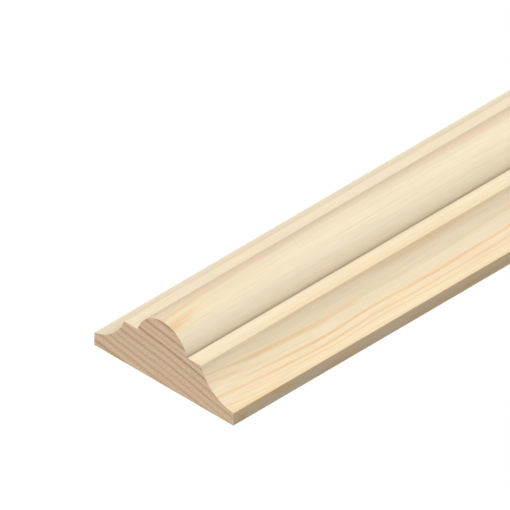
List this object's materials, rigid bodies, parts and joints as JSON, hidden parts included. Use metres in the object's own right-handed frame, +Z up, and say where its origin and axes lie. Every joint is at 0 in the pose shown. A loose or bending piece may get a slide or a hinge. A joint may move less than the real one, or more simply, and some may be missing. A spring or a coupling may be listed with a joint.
{
  "type": "double astragal moulding",
  "caption": "Straight length of planed bare pine moulding: a round bead between flat fillets, with a cove sweeping down to a thin edge on each side, flat back and square ends.",
  "frame": {"origin": "centre of the flat back, halfway along the length", "axes": "+Y along the length and the grain, +X across the width, +Z up out of the flat back to the bead"},
  "size_m": [0.034, 2.4, 0.0134],
  "materials": {
    "planed_pine": "planed bare pine, matt to faintly silky, with sawn end grain"
  },
  "bodies": {
    "root": {"moulding": "planed_pine"}
  },
  "joints": []
}
